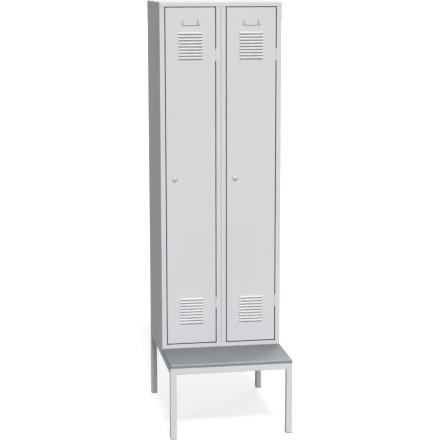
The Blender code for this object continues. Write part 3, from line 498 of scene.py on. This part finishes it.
def rounded_rectangle(low, high, radius):
    """(across, up) points round a rectangle, anticlockwise."""
    points = []
    corners = (
        (high.x, high.y, 1, 1),
        (low.x, high.y, -1, 1),
        (low.x, low.y, -1, -1),
        (high.x, low.y, 1, -1),
    )
    for quarter, (x, y, right, up) in enumerate(corners):
        centre = Vector((x - right * radius, y - up * radius))
        for step in range(CORNER_STEPS + 1):
            angle = pi / 2 * (quarter + step / CORNER_STEPS)
            points.append(centre + Vector((cos(angle), sin(angle))) * radius)
    return points


def bridge(bm, first, second, closed=True):
    """Faces between two rows of vertices, or between two rings."""
    count = len(first)
    for i in range(count if closed else count - 1):
        j = (i + 1) % count
        bm.faces.new((first[i], first[j], second[j], second[i]))


def inside(point, loop):
    """Whether an (x, z) point lies inside a loop of vertices in a plane that faces the front."""
    within = False
    for a, b in zip(loop, loop[1:] + loop[:1]):
        if (a.co.z > point.y) != (b.co.z > point.y):
            share = (point.y - a.co.z) / (b.co.z - a.co.z)
            if point.x < a.co.x + share * (b.co.x - a.co.x):
                within = not within
    return within


def fill_flat(bm, rim, loops):
    """Triangles inside the rim and outside every loop. It returns one of them."""
    points, edges = [], []
    for loop in [rim, *loops]:
        first = len(points)
        points += loop
        edges += [(first + i, first + (i + 1) % len(loop)) for i in range(len(loop))]
    places = [Vector((vert.co.x, vert.co.z)) for vert in points]
    triangles = delaunay_2d_cdt(places, edges, [], 0, SAME_POINT)[2]
    for triangle in triangles:
        centre = sum((places[i] for i in triangle), Vector((0.0, 0.0))) / len(triangle)
        if inside(centre, rim) and not any(inside(centre, loop) for loop in loops):
            face = bm.faces.new([points[i] for i in triangle])
    return face


def face_front(bm, flat):
    """Turns all faces out, given one that should face the front."""
    bmesh.ops.recalc_face_normals(bm, faces=bm.faces)
    if flat.normal.y > 0:
        bmesh.ops.reverse_faces(bm, faces=bm.faces)


# Door panels


def eased(share):
    """Runs from 0 to 1, and starts gently."""
    if share < LIP_EASE_SHARE:
        return share**2 / (2 * LIP_EASE_SHARE * (1 - LIP_EASE_SHARE / 2))
    return (share - LIP_EASE_SHARE / 2) / (1 - LIP_EASE_SHARE / 2)


def lip_height(share, shoulder, end):
    """A lip's height across its width: it rises to its shoulder, then falls towards its open edge."""
    if eased(share) <= shoulder:
        return sin(pi / 2 * eased(share) / shoulder)
    return end + (1 - end) * cos(pi / 2 * (eased(share) - shoulder) / (1 - shoulder))


def pressed_lip(bm, start, along, across, form):
    """A lip pressed out of the flat sheet, joined along its first side and open on its far side.

    start is the (x, z) end of the joined side, along runs beside it and across runs to the open
    side. It returns the loop of points that the flat sheet keeps round the lip.
    """
    length, taper, corner = form["length"], form["taper"], form["corner"]
    near = [taper * step / LIP_END_STEPS for step in range(LIP_END_STEPS + 1)]
    stations = near + [length - place for place in reversed(near)]
    columns, edge = [], []
    for station in stations:
        end = min(station, length - station)
        fullness = sin(pi / 2 * min(1.0, end / taper))
        cut = corner - sqrt(corner**2 - max(0.0, corner - end) ** 2)
        column = []
        for share in LIP_ROW_SHARES:
            x, z = start + along * station + across * ((form["width"] - cut) * share)
            height = lip_height(share, form["shoulder_share"], form["end_share"])
            column.append(bm.verts.new((x, FRONT - form["rise"] * fullness * height, z)))
        columns.append(column)
        x, z = start + along * station + across * (form["width"] - cut + form["slit"])
        edge.append((x, FRONT, z))
    for first, second in zip(columns, columns[1:]):
        bridge(bm, first, second, closed=False)
    slit = [bm.verts.new(place) for place in edge[1:-1]]
    joined = [column[0] for column in columns]
    return joined + columns[-1][1:] + slit[::-1] + columns[0][:0:-1]


def louvre_loops(bm, low, high):
    """Two groups of louvres, each open along its lower side."""
    start = (low.x + high.x - LOUVRE["length"]) / 2
    tops = [high.z - UPPER_LOUVRES_DROP - i * LOUVRE_PITCH for i in range(LOUVRES)]
    lowest = low.z + LOWER_LOUVRES_RISE + LOUVRE["width"]
    tops += [lowest + i * LOUVRE_PITCH for i in range(LOUVRES)]
    along, down = Vector((1.0, 0.0)), Vector((0.0, -1.0))
    return [pressed_lip(bm, Vector((start, top)), along, down, LOUVRE) for top in tops]


def card_holder_loops(bm, low, high):
    """Three lips that hold a name card: one under it and one at each side."""
    middle = (low.x + high.x) / 2
    bottom = high.z - CARD_DROP - CARD_HEIGHT
    right, up = Vector((1.0, 0.0)), Vector((0.0, 1.0))
    under = Vector((middle - CARD_UNDER_LIP["length"] / 2, bottom))
    return [
        pressed_lip(bm, under, right, up, CARD_UNDER_LIP),
        pressed_lip(bm, Vector((middle - CARD_WIDTH / 2, bottom)), up, right, CARD_SIDE_LIP),
        pressed_lip(bm, Vector((middle + CARD_WIDTH / 2, bottom)), up, -right, CARD_SIDE_LIP),
    ]


def circle(bm, place, radius):
    """A ring of vertices in a plane that faces the front."""
    angles = [2 * pi * step / LOCK_STEPS for step in range(LOCK_STEPS)]
    return [
        bm.verts.new((place.x + radius * cos(angle), place.y, place.z + radius * sin(angle)))
        for angle in angles
    ]


def door_fold(bm, low, high):
    """The folded edge all round the door. It returns the ring that the flat front meets."""
    points = (
        (0.0, 0.0),
        (DOOR_RIM, 0.0),
        (DOOR_RIM, DOOR_DEPTH),
        (DOOR_RIM - DOOR_RETURN, DOOR_DEPTH),
    )
    rings = []
    for out, depth in rounded(points, (DOOR_FOLD, DOOR_FOLD / 2)):
        inset = DOOR_RIM - out
        corner = max(DOOR_INNER_CORNER, DOOR_CORNER - inset)
        start = Vector((low.x + inset, low.z + inset))
        end = Vector((high.x - inset, high.z - inset))
        ring = rounded_rectangle(start, end, corner)
        rings.append([bm.verts.new((x, FRONT + depth, z)) for x, z in ring])
    for inner, outer in zip(rings, rings[1:]):
        bridge(bm, inner, outer)
    return rings[0]


def lock_place(bay):
    low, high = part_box(f"{bay}_door_panel")
    return Vector((low.x + LOCK_INSET, FRONT, (low.z + high.z) / 2))


def make_door_panel(bay):
    """The door's one pressing: its folded edge, louvres, card holder and the hole for the lock."""
    low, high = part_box(f"{bay}_door_panel")
    bm = bmesh.new()
    rim = door_fold(bm, low, high)
    loops = louvre_loops(bm, low, high) + card_holder_loops(bm, low, high)
    loops.append(circle(bm, lock_place(bay), BARREL_RADIUS + LAID_GAP))
    face_front(bm, fill_flat(bm, rim, loops))
    name = f"{bay}_door_panel"
    piece(f"{bay}_door_pressing", bm, f"{bay}_door", "light_paint", name, SHEET)


# Locks


def turned(bm, place, profile, steps=LOCK_STEPS, facing=-1):
    """A turned form: (radius, proud) points round an axis along Y."""
    verts = [
        bm.verts.new((place.x + radius, place.y + facing * proud, place.z))
        for radius, proud in profile
    ]
    edges = [bm.edges.new(pair) for pair in zip(verts, verts[1:])]
    bmesh.ops.spin(bm, geom=verts + edges, cent=place, axis=(0, 1, 0), steps=steps, angle=2 * pi)


def closed_form(bm):
    """Merges a turned form's points within SAME_POINT, and turns its faces out."""
    bmesh.ops.remove_doubles(bm, verts=bm.verts, dist=SAME_POINT)
    bmesh.ops.recalc_face_normals(bm, faces=bm.faces)
    return bm


def make_lock_housing(bay):
    """A rosette with a sloping flank, and a threaded barrel behind the door."""
    threads = []
    turns = int((BARREL_LENGTH - 2 * LAID_GAP) / THREAD_PITCH)
    for turn in range(turns):
        start = -LAID_GAP - turn * THREAD_PITCH
        threads.append((BARREL_RADIUS, start))
        threads.append((BARREL_RADIUS - THREAD_DEPTH, start - THREAD_PITCH / 2))
    corners = (
        (DOME_RADIUS, LAID_GAP),
        (DOME_RADIUS, LAID_GAP + DOME_RIM),
        (DOME_FACE_RADIUS, DOME_RISE),
        (BORE_RADIUS, DOME_RISE - DOME_DISH),
    )
    profile = [
        (BORE_RADIUS, -BARREL_LENGTH),
        (BARREL_RADIUS - THREAD_DEPTH, -BARREL_LENGTH),
        *threads[::-1],
        (BARREL_RADIUS, LAID_GAP),
        *rounded(corners, (DOME_RIM_ROUND, DOME_FACE_ROUND)),
        (BORE_RADIUS, -BARREL_LENGTH),
    ]
    bm = bmesh.new()
    turned(bm, lock_place(bay), profile)
    name = f"{bay}_lock_housing"
    piece(f"{bay}_lock_rosette", closed_form(bm), f"{bay}_door", "zinc", name, material=SATIN)


def make_plug_face(bay):
    """The plug's chamfered front, with its round-ended keyway."""
    lock = lock_place(bay)
    bm = bmesh.new()
    levels = (
        (PLUG_RADIUS, PLUG_RISE - PLUG_THICKNESS),
        (PLUG_RADIUS, PLUG_RISE - PLUG_CHAMFER),
        (PLUG_RADIUS - PLUG_CHAMFER, PLUG_RISE),
    )
    rings = [circle(bm, lock - Vector((0.0, rise, 0.0)), radius) for radius, rise in levels]
    for outer, inner in zip(rings, rings[1:]):
        bridge(bm, outer, inner)
    half = Vector((KEYWAY_WIDTH / 2, KEYWAY_HEIGHT / 2))
    middle = Vector((lock.x, lock.z))
    slot = rounded_rectangle(middle - half, middle + half, KEYWAY_WIDTH / 2 - LAID_GAP)
    slots = [
        [bm.verts.new((x, lock.y - rise, z)) for x, z in slot] for rise in (PLUG_RISE, levels[0][1])
    ]
    flat = fill_flat(bm, rings[-1], [slots[0]])
    bridge(bm, slots[0], slots[1])
    fill_flat(bm, rings[0], [slots[1]])
    face_front(bm, flat)
    piece(f"{bay}_plug_face", bm, f"{bay}_lock", "zinc", material=SATIN)


# Seat, welds, rivets and strips


def round_edges(bm, edges, radius, steps):
    profile = ROUND_PROFILE_SHARE
    bmesh.ops.bevel(bm, geom=edges, offset=radius, segments=steps, profile=profile, affect="EDGES")


def seat_underside(bm):
    """The edges of the lowest face."""
    return min(bm.faces, key=lambda face: face.calc_center_median().z).edges[:]


def make_seat():
    """The board, with its upper edges rounded over and its lower edges eased."""
    bm = bmesh.new()
    bmesh.ops.create_cube(bm, size=1.0)
    bmesh.ops.scale(bm, vec=SEAT_HIGH - SEAT_LOW, verts=bm.verts)
    bmesh.ops.translate(bm, vec=(SEAT_HIGH + SEAT_LOW) / 2, verts=bm.verts)
    under = seat_underside(bm)
    round_edges(bm, [edge for edge in bm.edges if edge not in under], SEAT_ROUND, SEAT_ROUND_STEPS)
    round_edges(bm, seat_underside(bm), SEAT_UNDER_ROUND, SEAT_UNDER_STEPS)
    piece("seat_top", bm, "root", "seat_laminate", "seat_board")


def weld_places():
    """Where a rail's end meets a leg or another rail: its axis, and the middle of the joint."""
    places = {}
    for row in ("front", "cross", "back"):
        low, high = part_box(f"bench_rail_{row}")
        middle = (low + high) / 2
        for side, across in (("left", low.x), ("right", high.x)):
            places[f"{row}_{side}"] = ("X", Vector((across, middle.y, middle.z)))
    for side in BAYS:
        low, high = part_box(f"bench_rail_{side}")
        middle = (low + high) / 2
        for row, depth in (("front", low.y), ("back", high.y)):
            places[f"side_{row}_{side}"] = ("Y", Vector((middle.x, depth, middle.z)))
    return places


def weld_route():
    """(across, up) places round a rail's end, each with its heading."""
    half = TUBE / 2 - WELD_RADIUS - WELD_SINK
    corner = Vector((half, half))
    path = rounded_rectangle(-corner, corner, WELD_CORNER)
    route = []
    for a, b in zip(path, path[1:] + path[:1]):
        steps = max(1, round((b - a).length / (WELD_PITCH / WELD_PITCH_STEPS)))
        route += [(a.lerp(b, step / steps), (b - a).normalized()) for step in range(steps)]
    return route


def make_weld(name, axis, middle):
    """A rippled bead in the groove round a rail's end."""
    x, y, up = Vector((1.0, 0.0, 0.0)), Vector((0.0, 1.0, 0.0)), Vector((0.0, 0.0, 1.0))
    across, along = (y, x) if axis == "X" else (x, y)
    bm = bmesh.new()
    rings = []
    run = 0.0
    route = weld_route()
    before = route[-1][0]
    for place, heading in route:
        run += (place - before).length
        before = place
        ripple = (1 + cos(2 * pi * run / WELD_PITCH)) / 2
        radius = WELD_RADIUS * (1 - WELD_RIPPLE_SHARE * ripple)
        out = Vector((heading.y, -heading.x))
        centre = middle + across * place.x + up * place.y
        ring = []
        for side in range(WELD_SIDES):
            angle = 2 * pi * side / WELD_SIDES
            flat = out * (cos(angle) * radius)
            side_step = along * (sin(angle) * radius)
            ring.append(bm.verts.new(centre + across * flat.x + up * flat.y + side_step))
        rings.append(ring)
    for first, second in zip(rings, rings[1:] + rings[:1]):
        bridge(bm, first, second)
    bmesh.ops.recalc_face_normals(bm, faces=bm.faces)
    piece(f"weld_{name}", bm, "root", "light_paint")


def make_rivets():
    """Blind rivets that hold the back to the walls' flanges."""
    low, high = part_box("back_panel")
    rivet = [(RIVET_RADIUS * out, RIVET_RISE * rise) for out, rise in RIVET_OUTLINE_SHARES]
    columns = {
        "left": low.x + RIVET_INSET,
        "middle_left": -RIVET_INSET,
        "middle_right": RIVET_INSET,
        "right": high.x - RIVET_INSET,
    }
    span = high.z - low.z - 2 * RIVET_MARGIN
    for column, across in columns.items():
        bm = bmesh.new()
        for i in range(RIVET_ROW):
            level = low.z + RIVET_MARGIN + span * i / (RIVET_ROW - 1)
            turned(bm, Vector((across, BACK_FACE, level)), rivet, steps=RIVET_STEPS, facing=1)
        piece(f"back_rivets_{column}", closed_form(bm), "root", "light_paint")


def bar(bm, section, span, axis):
    """A bar of one section: its (across, depth) points are drawn along Z, or (up, depth) along X."""
    rings = []
    for along in span:
        if axis == "Z":
            rings.append([bm.verts.new((across, FRONT + depth, along)) for across, depth in section])
        else:
            rings.append([bm.verts.new((along, FRONT + depth, up)) for up, depth in section])
    bridge(bm, *rings)
    for ring in rings:
        bm.faces.new(ring)


def upright_section(wall, inward):
    """An angle whose leg lines the opening's side and whose foot lies on the stop behind the door."""
    near, far = STRIP_WALL_GAP, STRIP_WALL_GAP + STRIP_THICKNESS
    back = STOP_DEPTH - STRIP_WALL_GAP
    foot = back - STRIP_FOOT_THICKNESS
    middle = (STRIP_START + back) / 2
    points = (
        (near, middle),
        (near, STRIP_START),
        (far, STRIP_START),
        (far, foot),
        (STRIP_FOOT_WIDTH, foot),
        (STRIP_FOOT_WIDTH, back),
        (near, back),
        (near, middle),
    )
    radii = (STRIP_ROUND, STRIP_ROUND, STRIP_BEND, STRIP_ROUND, STRIP_ROUND, STRIP_ROUND)
    return [(wall + inward * across, depth) for across, depth in rounded(points, radii)[:-1]]


def level_section(level, inward):
    """A flat strip that lines the opening's lower or upper side."""
    depths = STRIP_START, STOP_DEPTH - STRIP_FOOT_THICKNESS - STRIP_BEND
    levels = sorted(
        (level + inward * STRIP_WALL_GAP, level + inward * (STRIP_WALL_GAP + STRIP_THICKNESS))
    )
    start, end = Vector((levels[0], depths[0])), Vector((levels[1], depths[1]))
    return rounded_rectangle(start, end, STRIP_ROUND)


def make_strips():
    """A black strip of painted shade round each door frame's opening. It is broken where the hinges'
    leaves lie.
    """
    for bay in BAYS:
        low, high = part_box(f"{bay}_door_panel")
        left, right = low.x - DOOR_GAP, high.x + DOOR_GAP
        bottom, top = low.z - DOOR_GAP + STRIP_END_GAP, high.z + DOOR_GAP - STRIP_END_GAP
        bm = bmesh.new()
        bar(bm, upright_section(left, 1), (bottom, top), "Z")
        start = bottom
        for which in ("lower", "upper"):
            leaves = [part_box(f"{bay}_{which}_hinge_{side}_leaf") for side in ("door", "frame")]
            middle = (min(box[0].z for box in leaves) + max(box[1].z for box in leaves)) / 2
            bar(bm, upright_section(right, -1), (start, middle - HINGE_BREAK), "Z")
            start = middle + HINGE_BREAK
        bar(bm, upright_section(right, -1), (start, top), "Z")
        inset = 2 * STRIP_WALL_GAP + STRIP_THICKNESS
        span = (left + inset, right - inset)
        bar(bm, level_section(low.z - DOOR_GAP, 1), span, "X")
        bar(bm, level_section(high.z + DOOR_GAP, -1), span, "X")
        bmesh.ops.recalc_face_normals(bm, faces=bm.faces)
        # A black sheet of painted shade in the gaps round the door
        piece(f"{bay}_frame_gap_shade", bm, "root", "grey_plastic", material=GAP_SHADE_SHEET)


def make_pieces():
    for bay in BAYS:
        make_door_panel(bay)
        make_lock_housing(bay)
        make_plug_face(bay)
    make_seat()
    for name, (axis, middle) in weld_places().items():
        make_weld(name, axis, middle)
    make_rivets()
    make_strips()


def keep_turns_exact():
    """Turns near a right angle stay exact as quaternions, and would be rounded as Euler angles."""
    for body in frame["bodies"].values():
        body.rotation_mode = "QUATERNION"


def dress_nodes():
    """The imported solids' finishes, eased edges and shading."""
    slots = {row["node"]: row["material_slot"] for row in frame["record"]["subparts"]}
    for name, node in NODES.items():
        # The lock plug is near black: painted shade in the keyway
        finish = OILED_STEEL_KEYWAY_SHADE if name.endswith("_lock_plug") else MATERIALS[slots[name]]
        node.data.materials.clear()
        node.data.materials.append(finish)
        for polygon in node.data.polygons:
            polygon.material_index = 0
        if any(word in name for word in EASED_NODES):
            bevel = node.modifiers.new("eased_edges", "BEVEL")
            bevel.width = EASED_EDGE
            bevel.segments = EASED_STEPS
        smooth(node)


# Light, floor and camera


def camera_share(tree):
    """1 for what the camera sees itself, in a gloss or through glass, and 0 for light on a surface."""
    path = tree.nodes.new("ShaderNodeLightPath")
    share = path.outputs["Is Camera Ray"]
    for name in ("Is Glossy Ray", "Is Transmission Ray"):
        either = tree.nodes.new("ShaderNodeMath")
        either.operation = "MAXIMUM"
        tree.links.new(share, either.inputs[0])
        tree.links.new(path.outputs[name], either.inputs[1])
        share = either.outputs[0]
    return share


def make_world():
    """An even light on the object, in front of a white background."""
    world = bpy.data.worlds.new("studio")
    bpy.context.scene.world = world
    world.use_nodes = True
    tree = world.node_tree
    tree.nodes.clear()
    output = tree.nodes.new("ShaderNodeOutputWorld")
    mix = tree.nodes.new("ShaderNodeMixShader")
    tree.links.new(camera_share(tree), mix.inputs["Fac"])
    for index, colour, strength in ((1, AMBIENT_COLOUR, AMBIENT), (2, WHITE, 1.0)):
        background = tree.nodes.new("ShaderNodeBackground")
        background.inputs["Color"].default_value = colour
        background.inputs["Strength"].default_value = strength
        tree.links.new(background.outputs[0], mix.inputs[index])
    tree.links.new(mix.outputs[0], output.inputs["Surface"])


def light_scene():
    scene = bpy.context.scene
    scene.view_settings.view_transform = "Standard"
    make_world()
    for name, (direction, strength, spread, colour) in LAMPS.items():
        sun = bpy.data.lights.new(name, "SUN")
        sun.energy = strength
        sun.color = colour
        sun.angle = radians(spread)
        lamp = bpy.data.objects.new(name, sun)
        lamp.rotation_euler = Vector(direction).to_track_quat("Z", "Y").to_euler()
        scene.collection.objects.link(lamp)


def grey(level):
    return (level, level, level, 1.0)


def make_floor():
    """A white floor. It keeps a soft shadow, and throws little light back on the object."""
    bm = bmesh.new()
    bmesh.ops.create_grid(bm, x_segments=1, y_segments=1, size=FLOOR_SIZE)
    floor = new_object("floor", bm)
    look = Shader("pale_floor")
    tree = look.tree
    tree.nodes.remove(look.surface)
    output = next(node for node in tree.nodes if node.type == "OUTPUT_MATERIAL")
    tone = look.cloud(FLOOR_CLOUD_SCALE)
    seen = camera_share(tree)
    white = look.mixed(tone, grey(FLOOR_WHITE), grey(FLOOR_WHITE + FLOOR_MOTTLE))
    colour = look.mixed(seen, grey(FLOOR_BOUNCE), white)
    diffuse = look.add("ShaderNodeBsdfDiffuse", {"Color": colour})
    glow = look.add("ShaderNodeEmission", {"Color": WHITE})
    tree.links.new(look.ramp(seen, 0.0, 1.0, end=FLOOR_GLOW), glow.inputs["Strength"])
    both = tree.nodes.new("ShaderNodeAddShader")
    tree.links.new(diffuse.outputs[0], both.inputs[0])
    tree.links.new(glow.outputs[0], both.inputs[1])
    tree.links.new(both.outputs[0], output.inputs["Surface"])
    floor.data.materials.append(look.material)


def make_camera():
    data = bpy.data.cameras.new("camera")
    data.sensor_width = SENSOR
    data.lens = SENSOR * FOCAL_PIXELS / IMAGE_WIDTH
    data.shift_x = (IMAGE_WIDTH / 2 - CENTRE_PIXEL) / IMAGE_WIDTH
    data.clip_end = CLIP_END
    camera = bpy.data.objects.new("camera", data)
    camera.location = CAMERA_PLACE
    camera.rotation_euler = (pi / 2 - CAMERA_PITCH, 0.0, -CAMERA_YAW)
    bpy.context.scene.collection.objects.link(camera)
    bpy.context.scene.camera = camera


make_camera()
light_scene()
make_floor()
keep_turns_exact()
dress_nodes()
make_pieces()
